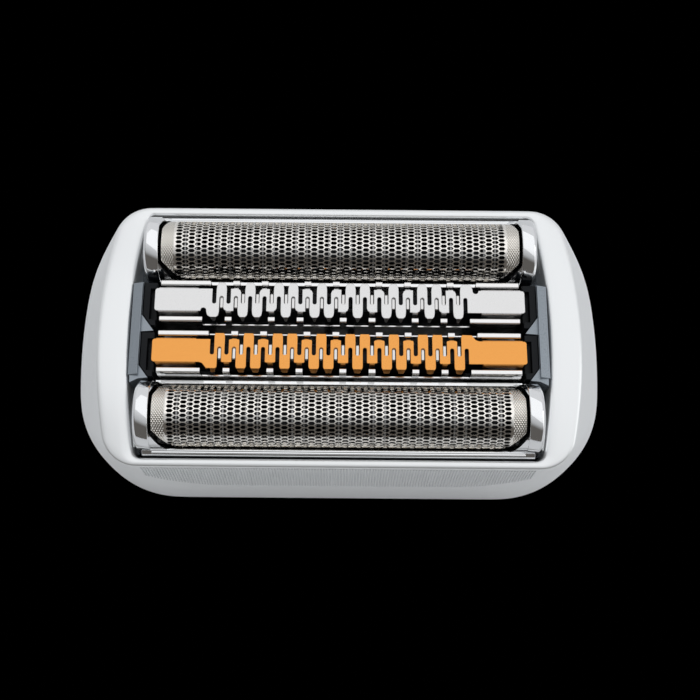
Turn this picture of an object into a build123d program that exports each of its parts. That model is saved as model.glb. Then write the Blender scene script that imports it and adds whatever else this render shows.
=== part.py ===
from build123d import *
import os
from math import atan, cos, degrees, hypot, pi, radians, sin

os.makedirs("parts", exist_ok=True)

# Head cassette of a foil shaver, in millimetres.
# X runs along the foils, Y from the front to the rear, Z up from the rim that it stands on.

# Clearances and travel
slide_gap = 0.1             # between pieces that move past each other
seat_gap = 0.05             # between pieces that sit still against each other
float_travel = 1.5          # how far a foil or a trimmer presses down
cutter_stroke = 0.8         # how far a cutter runs to each side

# Foil sheets
foil_length = 38.8
foil_radius = 3.5
foil_sheet = 0.12
foil_axis_height = 15.6
foil_skirt = 3.2            # straight side below the round
foil_margin = 1.2           # plain sheet beyond the holes at each end
hole_length = 3.6
hole_width = 0.8
hole_columns = 6
hole_rows = 5
hole_arc = 120              # degrees from the first row to the last

# Foil frames
arch_gap = 0.3              # open slit between the foil and the arch at its end
arch_thickness = 1.6
arch_rim = 0.25             # how far the arch stands proud of the foil
arch_chamfer = 0.3          # outer edge of the arch
rail_width = 0.45
rail_drop = 0.1             # rail top below the foil axis
frame_skirt = 4.1           # foil axis down to the frame's underside
foil_leg_width = 1.4

# Snap hooks on the legs
leg_thickness = 0.9
foil_leg_inset = 0.7        # side of the arch to the side of its leg
trimmer_leg_inset = 0.1
hook_reach = 0.8
hook_height = 1.0
hook_edge = 0.35            # upright edge of the hook above its slope
hook_clearance = 0.7        # left under a hook that is pressed right down
hook_window_gap = 0.3       # more room below a hook that is pressed down

# Foil cutters
blade_gap = 0.15            # between a blade's rim and the foil
blade_thickness = 0.3
blade_facets = 7            # straight facets ground round a blade's rim
blade_count = 6
blade_inset = 0.9           # carrier end to the first blade
carrier_inset = 1.5         # foil end to the carrier end
carrier_width = 5.2
carrier_base = 1.4
spine_width = 1.6
spine_height = 2.2
foil_coupling_length = 4.6
foil_coupling_width = 3.6
peg_height = 0.8
peg_inset = 1.1             # coupling side to peg side
drive_bore_radius = 0.95
drive_bore_depth = 3.3

# Trimmers
trimmer_rise = 2.4          # comb top above the foil axis
trimmer_parting = 0.8       # between the two trimmer heads
head_width = 4.9
head_length = 1.4
head_height = 5.5
head_drop = 1.5             # comb top down to the head top
head_foot = 1.2             # square part of the head below its chamfer
head_chamfer_length = 0.9
head_chamfer_width = 1.2
head_border = 0.7           # raised border round the step towards the comb
head_step = 0.8
core_width = 2.0
core_height = 3.85
trimmer_leg_width = 1.0

# Serpentine combs
comb_width = 2.56
comb_sheet = 0.25
lobe_count = 18
lobe_pitch = 1.54
lobe_cycle = 5              # after so many lobes the row of long and short ones repeats
short_lobes = (1, 3)        # places of the short ones in that row
slot_width = 0.42
slot_past_centre = 0.42
long_lobe_reach = 2.12      # tip of a long lobe from the centre line
long_lobe_drop = 0.4        # how far that tip is bent down
long_tip_width = 0.5
flange_drop = 1.0           # bent edge of the short lobes and of the end plates
flange_sheet = 0.18

# Rung cutters of the trimmers
strip_sheet = 0.3
strip_width = 2.0
strip_rail = 0.2
rung_width = 0.35
rung_cycle = 7              # half pitches of the comb after which the rungs repeat
rung_places = (0, 2, 4, 6)
stem_length = 2.4
stem_width = 1.1
stem_end_gap = 0.3
trimmer_coupling_length = 3.4
trimmer_coupling_width = 2.9
trimmer_coupling_height = 3.8
fork_gap = 1.9              # between the prongs that straddle a drive pin
fork_depth = 3.0

# Skin guards beside the combs
guard_end_gap = 0.6         # head down to the guard's end
guard_sheet = 0.12
guard_offset = 2.06         # ridge centre from the trimmer's centre line
guard_width = 0.6
guard_drop = 0.3            # comb top down to the ridge top
guard_window = 1.3          # depth of the gaps between the ridge's nubs
guard_lip = 0.3             # thickness of the ridge at its nubs
guard_nub_width = 0.7
guard_bar_gap = 1.25        # last lobe to the plain bar at the ridge's end
guard_strip_length = 3.0
guard_strip_sheet = 0.15

# Leaf springs
spring_length = 4.3
spring_width = 1.9
spring_sheet = 0.2
spring_bend = 0.45

# Chassis
floor_height = 6.0
floor_thickness = 1.5
floor_margin = 2.0          # spring foot to the floor window
window_gap = 0.4            # coupling side to the side of its floor window
chassis_wall = 1.1
chassis_gap = 0.2           # chassis walls to the frame round them
wall_half_depth = 12.9
cap_drop = 1.5              # comb top down to the top of the end caps
cap_end_slope = 1.1
tooth_blunt = 0.1
latch_slot_length = 6.0
latch_slot_width = 2.0

# Outer frame
rim_drop = 0.5              # foil axis down to the long rims
crown_rise = 1.6            # middle of the end shoulders above the long rims
frame_gap = 0.25            # foil frame to the long walls
opening_bow = 1.2
opening_corner = 0.6
shoulder_width = 3.25       # from the opening to the crease at the ends
shoulder_bulge = 0.9        # how far the end flank stands out from a straight slope
bevel_width = 1.15          # inner bevel of the shoulders
rim_bevel = 0.6             # inner bevel of the long rims
rim_bevel_drop = 1.0        # long rim down to the lower edge of the bevel
rim_wall = 1.1              # long walls at the crown
end_flare = 4.0             # from the crease out to the widest place at the ends
side_flare = 0.85
belly_height = 6.5
frame_bow = 1.9
frame_corner = 11.0
frame_wall = 1.35
end_wall = 2.0
recess_chamfer = 6.5
frame_ledge = 1.8           # seat of the chassis at the ends
cavity_half_depth = 10.0    # hollow behind the end shoulders
snap_length = 10.0
snap_height = 0.6
snap_reach = 0.4
lip_thickness = 2.6         # long rim down to the lip's underside

# Places worked out from the sizes above
arch_inner = foil_length / 2 + arch_gap
unit_end = arch_inner + arch_thickness
chassis_inner = unit_end + slide_gap
chassis_outer = chassis_inner + chassis_wall
arch_radius = foil_radius + arch_rim
rail_inner = foil_radius + seat_gap
foil_frame_half_width = rail_inner + rail_width
trimmer_axis = (head_width + trimmer_parting) / 2
foil_axis = trimmer_axis + head_width / 2 + slide_gap + foil_frame_half_width
frame_underside = foil_axis_height - frame_skirt
foil_foot = foil_axis_height - foil_skirt
hole_pitch = (foil_length - 2 * foil_margin) / (hole_columns + 0.5)
foil_leg_offset = arch_radius - foil_leg_inset - foil_leg_width / 2
trimmer_leg_offset = head_width / 2 - trimmer_leg_inset - trimmer_leg_width / 2
spring_outer = unit_end - leg_thickness / 2
spring_inner = spring_outer - spring_length
floor_window_length = 2 * (spring_inner - floor_margin)
floor_bottom = floor_height - floor_thickness
hook_bottom = floor_height + float_travel + hook_clearance
hook_top = hook_bottom + hook_height
coupling_bottom = floor_height + hook_clearance - slide_gap

blade_radius = foil_radius - foil_sheet - blade_gap
blade_foot = foil_foot
carrier_bottom = blade_foot - carrier_base
carrier_length = foil_length - 2 * carrier_inset
blade_pitch = (carrier_length - 2 * blade_inset) / (blade_count - 1)

comb_top = foil_axis_height + trimmer_rise
comb_bottom = comb_top - comb_sheet
comb_half_width = comb_width / 2
strip_top = comb_bottom - seat_gap
strip_bottom = strip_top - strip_sheet
core_top = strip_bottom - slide_gap
core_bottom = core_top - core_height
head_top = comb_top - head_drop
head_bottom = head_top - head_height
head_inner = unit_end - head_length
comb_length = 2 * (head_inner - seat_gap)
guard_length = 2 * (head_inner - guard_end_gap)
strip_half_length = lobe_count * lobe_pitch / 2 + lobe_pitch
pad_inner = strip_half_length + cutter_stroke + slide_gap
trimmer_coupling_top = coupling_bottom + trimmer_coupling_height
guard_top = comb_top - guard_drop
guard_window_bottom = guard_top - guard_window
guard_bottom = core_bottom - guard_strip_sheet
guard_inner = guard_offset - guard_width / 2
guard_outer = guard_offset + guard_width / 2

rim_height = foil_axis_height - rim_drop
crown_height = rim_height + crown_rise
lip_underside = rim_height - lip_thickness
cap_top = comb_top - cap_drop
opening_half_length = chassis_outer + seat_gap
opening_half_depth = foil_axis + foil_frame_half_width + frame_gap
crown_radius = (opening_half_depth**2 + crown_rise**2) / (2 * crown_rise)
crown_half_length = opening_half_length + shoulder_width
crown_half_depth = opening_half_depth + rim_wall
belly_half_length = crown_half_length + end_flare
belly_half_depth = crown_half_depth + side_flare
side_lean = degrees(atan(side_flare / (crown_height - belly_height)))
shoulder_axis = belly_half_length - (belly_half_depth**2 + frame_bow**2) / (2 * frame_bow)
recess_half_length = belly_half_length - end_wall
recess_half_depth = belly_half_depth - frame_wall
cavity_half_length = recess_half_length - frame_ledge


def bowed_outline(height, half_length, half_depth, bow, corner):
    """Face at a height: straight long sides, bowed ends and rounded corners."""
    side_end = half_length - bow
    with BuildSketch(Plane.XY.offset(height)) as outline:
        with BuildLine():
            Line((-side_end, -half_depth), (side_end, -half_depth))
            ThreePointArc((side_end, -half_depth), (half_length, 0), (side_end, half_depth))
            Line((side_end, half_depth), (-side_end, half_depth))
            ThreePointArc((-side_end, half_depth), (-half_length, 0), (-side_end, -half_depth))
        make_face()
        fillet(outline.vertices(), corner)
    return outline.sketch


def chamfered_outline(height, half_length, half_depth):
    """Face at a height: a rectangle with cut corners, as the recess and the floor in it have."""
    with BuildSketch(Plane.XY.offset(height)) as outline:
        Rectangle(2 * half_length, 2 * half_depth)
        chamfer(outline.vertices(), recess_chamfer)
    return outline.sketch


def block(x_low, x_high, y_low, y_high, height):
    """Rectangle at a height, between two places along X and two along Y."""
    with BuildSketch(Plane.XY.offset(height)) as rectangle:
        with Locations(((x_low + x_high) / 2, (y_low + y_high) / 2)):
            Rectangle(x_high - x_low, y_high - y_low)
    return rectangle.sketch


def across(x, y):
    """Plane across the length, with its own X to the rear and its own Y up."""
    return Plane(origin=(x, y, 0), x_dir=(0, 1, 0), z_dir=(1, 0, 0))


def along(y):
    """Plane along the length, with its own X to the right and its own Y up."""
    return Plane(origin=(0, y, 0), x_dir=(1, 0, 0), z_dir=(0, -1, 0))


def arch_profile(x, y, radius, foot):
    """Face across the length: a half round on straight sides that end at a foot height."""
    with BuildSketch(across(x, y)) as profile:
        with BuildLine():
            Polyline(
                (radius, foil_axis_height),
                (radius, foot),
                (-radius, foot),
                (-radius, foil_axis_height),
            )
            ThreePointArc(
                (-radius, foil_axis_height),
                (0, foil_axis_height + radius),
                (radius, foil_axis_height),
            )
        make_face()
    return profile.sketch


def blade_profile(x, y):
    """Face across the length: a blade with a faceted half-round rim on straight sides."""
    turns = [pi * facet / blade_facets for facet in range(blade_facets + 1)]
    rim = [
        (blade_radius * cos(turn), foil_axis_height + blade_radius * sin(turn)) for turn in turns
    ]
    with BuildSketch(across(x, y)) as profile:
        with BuildLine():
            Polyline((blade_radius, blade_foot), *rim, (-blade_radius, blade_foot), close=True)
        make_face()
    return profile.sketch


def hook_leg(y, top):
    """Side view of a leg at the right end that runs down into a snap hook."""
    with BuildSketch(along(y)) as profile:
        with BuildLine():
            Polyline(
                (unit_end - leg_thickness, top),
                (unit_end, top),
                (unit_end, hook_top),
                (unit_end + hook_reach, hook_top),
                (unit_end + hook_reach, hook_top - hook_edge),
                (unit_end, hook_bottom),
                (unit_end - leg_thickness, hook_bottom),
                close=True,
            )
        make_face()
    return profile.sketch


def leaf_spring(y, top):
    """Side view of a leaf spring at the right end: a foot on the floor and an arm up to a tip."""
    with BuildSketch(along(y)) as profile:
        with BuildLine():
            Polyline(
                (spring_outer, floor_height),
                (spring_inner, floor_height),
                (spring_inner, floor_height + spring_bend),
                (spring_outer - spring_bend, top),
                (spring_outer, top),
                (spring_outer, top - spring_sheet),
                (spring_outer - spring_bend + spring_sheet / 2, top - spring_sheet),
                (spring_inner + spring_sheet, floor_height + spring_bend),
                (spring_inner + spring_sheet, floor_height + spring_sheet),
                (spring_outer, floor_height + spring_sheet),
                close=True,
            )
        make_face()
    return profile.sketch


def rear_lobe_x(index):
    """Centre of a lobe on the rear edge of a comb. The front edge has them turned half round."""
    return (index - (lobe_count - 1) / 2) * lobe_pitch + lobe_pitch / 4


def lobe_is_short(index):
    return index % lobe_cycle in short_lobes


# Outer frame: a moulded shell with arched end shoulders round a large opening
with BuildPart() as outer_frame:
    extrude(
        bowed_outline(0, belly_half_length, belly_half_depth, frame_bow, frame_corner),
        amount=belly_height,
    )
    extrude(
        bowed_outline(belly_height, belly_half_length, belly_half_depth, frame_bow, frame_corner),
        amount=crown_height - belly_height,
        taper=side_lean,
    )
    with BuildSketch(Plane.YZ):
        with Locations((0, crown_height - crown_radius)):
            Circle(crown_radius)
    extrude(amount=belly_half_length, both=True, mode=Mode.INTERSECT)
    for end in (1, -1):
        with BuildSketch(Plane.XZ):
            with BuildLine():
                Polyline(
                    (end * belly_half_length, belly_height),
                    (
                        end * ((belly_half_length + crown_half_length) / 2 + shoulder_bulge),
                        (belly_height + crown_height) / 2 + shoulder_bulge / 2,
                    ),
                    (end * crown_half_length, crown_height),
                    (end * (belly_half_length + end_flare), crown_height),
                    (end * (belly_half_length + end_flare), belly_height),
                    close=True,
                )
            make_face()
        revolve(axis=Axis((end * shoulder_axis, 0, 0), (0, 0, 1)), mode=Mode.SUBTRACT)
    extrude(
        bowed_outline(
            floor_height, opening_half_length, opening_half_depth, opening_bow, opening_corner
        ),
        amount=crown_height - floor_height,
        mode=Mode.SUBTRACT,
    )
    extrude(
        chamfered_outline(0, recess_half_length, recess_half_depth),
        amount=floor_height,
        mode=Mode.SUBTRACT,
    )
    for half_length, half_depth in (
        (cavity_half_length, cavity_half_depth),
        (chassis_outer + chassis_gap, wall_half_depth + chassis_gap),
    ):
        extrude(
            block(-half_length, half_length, -half_depth, half_depth, floor_height),
            amount=lip_underside - floor_height,
            mode=Mode.SUBTRACT,
        )
    for edge in (1, -1):
        snap = sorted((edge * recess_half_depth, edge * (recess_half_depth - snap_reach)))
        extrude(
            block(-snap_length / 2, snap_length / 2, *snap, floor_bottom - seat_gap),
            amount=-snap_height,
        )
    bevel_slope = rim_bevel / rim_bevel_drop
    loft(
        [
            bowed_outline(
                rim_height - rim_bevel_drop,
                opening_half_length,
                opening_half_depth,
                opening_bow,
                opening_corner,
            ),
            bowed_outline(
                crown_height,
                opening_half_length + bevel_width,
                opening_half_depth + (rim_bevel_drop + crown_rise) * bevel_slope,
                opening_bow,
                opening_corner,
            ),
        ],
        mode=Mode.SUBTRACT,
    )
outer_frame.part.label = "outer_frame"
export_step(outer_frame.part, "parts/outer_frame.step")

# Chassis: a windowed floor with two end walls, which the floating units hook into
foil_window_half = foil_coupling_width / 2 + window_gap
trimmer_window_half = trimmer_coupling_width / 2 + window_gap
with BuildPart() as inner_chassis:
    extrude(
        chamfered_outline(
            floor_bottom, recess_half_length - slide_gap, recess_half_depth - slide_gap
        ),
        amount=floor_thickness,
    )
    with BuildSketch(Plane.XY.offset(floor_height)):
        with Locations((0, foil_axis), (0, -foil_axis)):
            Rectangle(floor_window_length, 2 * foil_window_half)
        with Locations((0, trimmer_axis), (0, -trimmer_axis)):
            Rectangle(floor_window_length, 2 * trimmer_window_half)
        latch_slot_x = (chassis_outer + cavity_half_length) / 2
        with Locations((latch_slot_x, 0), (-latch_slot_x, 0)):
            Rectangle(latch_slot_width, latch_slot_length)
    extrude(amount=-floor_thickness, mode=Mode.SUBTRACT)
    wall_top = lip_underside - chassis_gap
    for end in (1, -1):
        low, high = sorted((end * chassis_inner, end * chassis_outer))
        extrude(
            block(low, high, -wall_half_depth, wall_half_depth, floor_height),
            amount=wall_top - floor_height,
        )
        rear_tooth_front = trimmer_axis - head_width / 2 - trimmer_parting + slide_gap
        front_tooth_front = arch_radius - foil_axis + slide_gap
        chamfer_slope = head_chamfer_length / head_chamfer_width
        with BuildSketch(Plane.XY.offset(wall_top)):
            add(
                bowed_outline(
                    0,
                    chassis_outer,
                    opening_half_depth - seat_gap,
                    opening_bow,
                    opening_corner,
                )
            )
            with BuildLine():
                outline = [(end * chassis_inner, trimmer_axis + head_width / 2 + slide_gap)]
                for axis, tooth_front in (
                    (trimmer_axis, rear_tooth_front),
                    (-trimmer_axis, front_tooth_front),
                ):
                    head_front = axis - head_width / 2
                    tip_y = tooth_front + tooth_blunt
                    tip_x = chassis_inner - head_chamfer_length - (head_front - tip_y) * chamfer_slope
                    outline += [
                        (end * chassis_inner, head_front + head_chamfer_width),
                        (end * tip_x, tip_y),
                        (end * chassis_inner, tooth_front),
                    ]
                outline += [
                    (end * (chassis_outer + chassis_wall), front_tooth_front - chassis_wall),
                    (
                        end * (chassis_outer + chassis_wall),
                        trimmer_axis + head_width / 2 + slide_gap - 2 * chassis_wall * cap_end_slope,
                    ),
                ]
                Polyline(*outline, close=True)
            make_face(mode=Mode.INTERSECT)
        extrude(amount=cap_top - wall_top)
        hook_places = [
            (side * axis + leg * offset, width)
            for side in (1, -1)
            for leg in (1, -1)
            for axis, offset, width in (
                (foil_axis, foil_leg_offset, foil_leg_width),
                (trimmer_axis, trimmer_leg_offset, trimmer_leg_width),
            )
        ]
        for y, width in hook_places:
            extrude(
                block(
                    low,
                    high,
                    y - width / 2 - slide_gap,
                    y + width / 2 + slide_gap,
                    hook_bottom - float_travel - hook_window_gap,
                ),
                amount=hook_height + float_travel + hook_window_gap + seat_gap,
                mode=Mode.SUBTRACT,
            )
inner_chassis.part.label = "inner_chassis"
export_step(inner_chassis.part, "parts/inner_chassis.step")

for side, turn in (("front", -1), ("rear", 1)):
    foil_y = turn * foil_axis
    trimmer_y = turn * trimmer_axis

    # Foil frame: two arched end walls joined by rails, with snap legs
    with BuildPart() as foil_frame:
        extrude(arch_profile(arch_inner, foil_y, arch_radius, frame_underside), amount=arch_thickness)
        arch_edges = foil_frame.faces().sort_by(Axis.X)[-1].edges().sort_by(Axis.Z)
        chamfer(arch_edges[1:], arch_chamfer)
        for leg in (1, -1):
            extrude(
                hook_leg(foil_y + leg * foil_leg_offset, frame_underside),
                amount=foil_leg_width / 2,
                both=True,
            )
        with BuildSketch(across(0, foil_y)):
            rail_height = frame_skirt - rail_drop
            with Locations(
                (rail_inner + rail_width / 2, frame_underside + rail_height / 2),
                (-rail_inner - rail_width / 2, frame_underside + rail_height / 2),
            ):
                Rectangle(rail_width, rail_height)
        extrude(amount=arch_inner)
        mirror(about=Plane.YZ)
    foil_frame.part.label = f"{side}_foil_frame"
    export_step(foil_frame.part, f"parts/{side}_foil_frame.step")

    # Foil: a thin sheet bent to a half round, with staggered rows of holes cut square to it
    with BuildPart() as foil:
        extrude(arch_profile(-foil_length / 2, foil_y, foil_radius, foil_foot), amount=foil_length)
        extrude(
            arch_profile(-foil_length / 2, foil_y, foil_radius - foil_sheet, foil_foot),
            amount=foil_length,
            mode=Mode.SUBTRACT,
        )
        for row in range(hole_rows):
            angle = radians(hole_arc * (row / (hole_rows - 1) - 0.5))
            out = Vector(0, sin(angle), cos(angle))
            centre = Vector(0, foil_y, foil_axis_height) + out * foil_radius
            stagger = (row % 2 - 0.5) * hole_pitch / 2
            with BuildSketch(Plane(origin=centre, x_dir=(1, 0, 0), z_dir=out)):
                with Locations((stagger, 0)):
                    with GridLocations(hole_pitch, 1, hole_columns, 1):
                        Rectangle(hole_length, hole_width)
            extrude(amount=-foil_radius / 2, mode=Mode.SUBTRACT)
    foil.part.label = f"{side}_foil"
    export_step(foil.part, f"parts/{side}_foil.step")

    # Cutter blades: thin half-round plates that sit across the carrier's spine
    with BuildPart() as cutter_blades:
        for index in range(blade_count):
            x = (index - (blade_count - 1) / 2) * blade_pitch - blade_thickness / 2
            extrude(blade_profile(x, foil_y), amount=blade_thickness)
        spine_half = spine_width / 2 + seat_gap
        extrude(
            block(
                -carrier_length / 2,
                carrier_length / 2,
                foil_y - spine_half,
                foil_y + spine_half,
                blade_foot,
            ),
            amount=spine_height + seat_gap,
            mode=Mode.SUBTRACT,
        )
    cutter_blades.part.label = f"{side}_cutter_blades"
    export_step(cutter_blades.part, f"parts/{side}_cutter_blades.step")

    # Cutter carrier: a moulded bar with a spine for the blades and a pocket for the coupling
    peg_length = foil_coupling_length - 2 * peg_inset
    peg_width = foil_coupling_width - 2 * peg_inset
    with BuildPart() as cutter_carrier:
        for width, bottom, height in (
            (carrier_width, carrier_bottom, carrier_base),
            (spine_width, blade_foot, spine_height),
        ):
            extrude(
                block(
                    -carrier_length / 2,
                    carrier_length / 2,
                    foil_y - width / 2,
                    foil_y + width / 2,
                    bottom,
                ),
                amount=height,
            )
        with BuildSketch(Plane.XY.offset(carrier_bottom)):
            with Locations((0, foil_y)):
                Rectangle(peg_length + 2 * seat_gap, peg_width + 2 * seat_gap)
        extrude(amount=peg_height + seat_gap, mode=Mode.SUBTRACT)
    cutter_carrier.part.label = f"{side}_cutter_carrier"
    export_step(cutter_carrier.part, f"parts/{side}_cutter_carrier.step")

    # Cutter coupling: a block with a blind bore for the drive pin and a peg into the carrier
    with BuildPart() as cutter_coupling:
        with BuildSketch(Plane.XY.offset(coupling_bottom)):
            with Locations((0, foil_y)):
                Rectangle(foil_coupling_length, foil_coupling_width)
        extrude(amount=carrier_bottom - coupling_bottom)
        with BuildSketch(Plane.XY.offset(carrier_bottom)):
            with Locations((0, foil_y)):
                Rectangle(peg_length, peg_width)
        extrude(amount=peg_height)
        with BuildSketch(Plane.XY.offset(coupling_bottom)):
            with Locations((0, foil_y)):
                Circle(drive_bore_radius)
        extrude(amount=drive_bore_depth, mode=Mode.SUBTRACT)
    cutter_coupling.part.label = f"{side}_cutter_coupling"
    export_step(cutter_coupling.part, f"parts/{side}_cutter_coupling.step")

    # Foil springs: a leaf spring under each end of the foil frame
    with BuildPart() as foil_springs:
        extrude(leaf_spring(foil_y, frame_underside - seat_gap), amount=spring_width / 2, both=True)
        mirror(about=Plane.YZ)
    foil_springs.part.label = f"{side}_foil_springs"
    export_step(foil_springs.part, f"parts/{side}_foil_springs.step")

    # Trimmer carrier: a slotted core between two end heads, with snap legs
    head_half_width = head_width / 2
    with BuildPart() as trimmer_carrier:
        extrude(
            block(
                0,
                head_inner,
                trimmer_y - core_width / 2,
                trimmer_y + core_width / 2,
                core_bottom,
            ),
            amount=core_height,
        )
        extrude(
            block(
                pad_inner,
                head_inner,
                trimmer_y - core_width / 2,
                trimmer_y + core_width / 2,
                core_top,
            ),
            amount=strip_top - core_top,
        )
        extrude(
            block(
                head_inner,
                unit_end,
                trimmer_y - head_half_width,
                trimmer_y + head_half_width,
                head_bottom,
            ),
            amount=head_height,
        )
        with BuildSketch(Plane.XY.offset(head_bottom + head_foot)):
            with BuildLine():
                Polyline(
                    (unit_end, trimmer_y - head_half_width),
                    (unit_end, trimmer_y - head_half_width + head_chamfer_width),
                    (unit_end - head_chamfer_length, trimmer_y - head_half_width),
                    close=True,
                )
            make_face()
        extrude(amount=head_height - head_foot, mode=Mode.SUBTRACT)
        extrude(
            block(
                head_inner,
                unit_end - head_border,
                trimmer_y - head_half_width + head_border,
                trimmer_y + head_half_width - head_border,
                head_top,
            ),
            amount=-head_step,
            mode=Mode.SUBTRACT,
        )
        for leg in (1, -1):
            extrude(
                hook_leg(trimmer_y + leg * trimmer_leg_offset, head_bottom),
                amount=trimmer_leg_width / 2,
                both=True,
            )
        extrude(
            block(
                0,
                stem_length / 2 + cutter_stroke + stem_end_gap,
                trimmer_y - stem_width / 2 - slide_gap,
                trimmer_y + stem_width / 2 + slide_gap,
                core_bottom,
            ),
            amount=core_height,
            mode=Mode.SUBTRACT,
        )
        mirror(about=Plane.YZ)
    trimmer_carrier.part.label = f"{side}_trimmer_carrier"
    export_step(trimmer_carrier.part, f"parts/{side}_trimmer_carrier.step")

    # Trimmer guard: one bent sheet with a nubbed ridge along each side of the comb
    with BuildPart() as trimmer_guard:
        for edge in (1, -1):
            wall = sorted((edge * (guard_outer - guard_sheet), edge * guard_outer))
            extrude(
                block(
                    -guard_length / 2,
                    guard_length / 2,
                    trimmer_y + wall[0],
                    trimmer_y + wall[1],
                    guard_bottom,
                ),
                amount=guard_window_bottom - guard_bottom,
            )
            short_places = [rear_lobe_x(index) for index in range(lobe_count) if lobe_is_short(index)]
            nubs = [(x - guard_nub_width / 2, x + guard_nub_width / 2) for x in short_places]
            nubs.append((-guard_length / 2, rear_lobe_x(0) - guard_bar_gap))
            nubs.append((rear_lobe_x(lobe_count - 1) + guard_bar_gap, guard_length / 2))
            for low, high in nubs:
                with BuildSketch(across(edge * low, trimmer_y)):
                    with BuildLine():
                        Polyline(
                            (edge * guard_outer, guard_window_bottom),
                            (edge * guard_outer, guard_top),
                            (edge * guard_inner, guard_top),
                            (edge * guard_inner, guard_top - guard_lip),
                            (edge * (guard_outer - guard_sheet), guard_top - guard_lip),
                            (edge * (guard_outer - guard_sheet), guard_window_bottom),
                            close=True,
                        )
                    make_face()
                extrude(amount=edge * (high - low))
        for end in (1, -1):
            low, high = sorted((end * guard_length / 2, end * (guard_length / 2 - guard_strip_length)))
            extrude(
                block(low, high, trimmer_y - guard_outer, trimmer_y + guard_outer, guard_bottom),
                amount=guard_strip_sheet,
            )
    trimmer_guard.part.label = f"{side}_trimmer_guard"
    export_step(trimmer_guard.part, f"parts/{side}_trimmer_guard.step")

    # Trimmer comb: one slotted sheet that runs to and fro between long and short lobes
    lobe_width = lobe_pitch - slot_width
    tongue_reach = long_lobe_reach - comb_half_width
    tongue_length = hypot(tongue_reach, long_lobe_drop)
    with BuildPart() as trimmer_comb:
        with BuildSketch(Plane.XY.offset(comb_bottom)):
            with Locations((0, trimmer_y)):
                Rectangle(comb_length, comb_width)
            slot_length = comb_half_width + slot_past_centre
            for edge in (1, -1):
                for index in range(lobe_count):
                    slot_x = edge * (rear_lobe_x(index) - lobe_pitch / 2)
                    slot_y = trimmer_y + edge * (comb_half_width - slot_length / 2)
                    with Locations((slot_x, slot_y)):
                        Rectangle(slot_width, slot_length, mode=Mode.SUBTRACT)
        extrude(amount=comb_sheet)
        for edge in (1, -1):
            for index in range(lobe_count):
                x = edge * rear_lobe_x(index)
                rim_y = trimmer_y + edge * comb_half_width
                if lobe_is_short(index):
                    flange = sorted((rim_y - edge * flange_sheet, rim_y))
                    extrude(
                        block(x - lobe_width / 2, x + lobe_width / 2, *flange, comb_bottom),
                        amount=-flange_drop,
                    )
                else:
                    with BuildSketch(
                        Plane(
                            origin=(x, rim_y, comb_top),
                            x_dir=(edge, 0, 0),
                            z_dir=(0, edge * long_lobe_drop, tongue_reach),
                        )
                    ):
                        with BuildLine():
                            Polyline(
                                (-lobe_width / 2, 0),
                                (lobe_width / 2, 0),
                                (long_tip_width / 2, tongue_length),
                                (-long_tip_width / 2, tongue_length),
                                close=True,
                            )
                        make_face()
                    extrude(amount=comb_sheet, dir=(0, 0, -1))
            for end in (1, -1):
                flange = sorted((rim_y - edge * flange_sheet, rim_y))
                low, high = sorted((end * pad_inner, end * comb_length / 2))
                extrude(block(low, high, *flange, comb_bottom), amount=-flange_drop)
    trimmer_comb.part.label = f"{side}_trimmer_comb"
    export_step(trimmer_comb.part, f"parts/{side}_trimmer_comb.step")

    # Trimmer cutter: a ladder strip that runs under the comb
    with BuildPart() as trimmer_cutter:
        extrude(
            block(
                -strip_half_length,
                strip_half_length,
                trimmer_y - strip_width / 2,
                trimmer_y + strip_width / 2,
                strip_bottom,
            ),
            amount=strip_sheet,
        )
        half_pitch = lobe_pitch / 2
        last_rung = int((strip_half_length - rung_width / 2) / half_pitch)
        rungs = [
            step * half_pitch
            for step in range(-last_rung, last_rung + 1)
            if step % rung_cycle in rung_places
        ]
        with BuildSketch(Plane.XY.offset(strip_bottom)):
            for left, right in zip(rungs, rungs[1:]):
                with Locations(((left + right) / 2, trimmer_y)):
                    Rectangle(right - left - rung_width, strip_width - 2 * strip_rail)
        extrude(amount=strip_sheet, mode=Mode.SUBTRACT)
    trimmer_cutter.part.label = f"{side}_trimmer_cutter"
    export_step(trimmer_cutter.part, f"parts/{side}_trimmer_cutter.step")

    # Trimmer coupling: a fork that straddles the drive pin, with a stem up to the cutter
    with BuildPart() as trimmer_coupling:
        with BuildSketch(Plane.XY.offset(coupling_bottom)):
            with Locations((0, trimmer_y)):
                Rectangle(trimmer_coupling_length, trimmer_coupling_width)
        extrude(amount=trimmer_coupling_height)
        with BuildSketch(Plane.XY.offset(trimmer_coupling_top)):
            with Locations((0, trimmer_y)):
                Rectangle(stem_length, stem_width)
        extrude(amount=strip_bottom - trimmer_coupling_top)
        with BuildSketch(Plane.XY.offset(coupling_bottom)):
            with Locations((0, trimmer_y)):
                Rectangle(fork_gap, trimmer_coupling_width)
        extrude(amount=fork_depth, mode=Mode.SUBTRACT)
    trimmer_coupling.part.label = f"{side}_trimmer_coupling"
    export_step(trimmer_coupling.part, f"parts/{side}_trimmer_coupling.step")

    # Trimmer springs: a leaf spring under each head of the trimmer
    with BuildPart() as trimmer_springs:
        extrude(leaf_spring(trimmer_y, head_bottom - seat_gap), amount=spring_width / 2, both=True)
        mirror(about=Plane.YZ)
    trimmer_springs.part.label = f"{side}_trimmer_springs"
    export_step(trimmer_springs.part, f"parts/{side}_trimmer_springs.step")
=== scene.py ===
from math import cos, pi, radians, sin, sqrt

import bmesh
import bpy
from mathutils import Matrix, Vector


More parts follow.
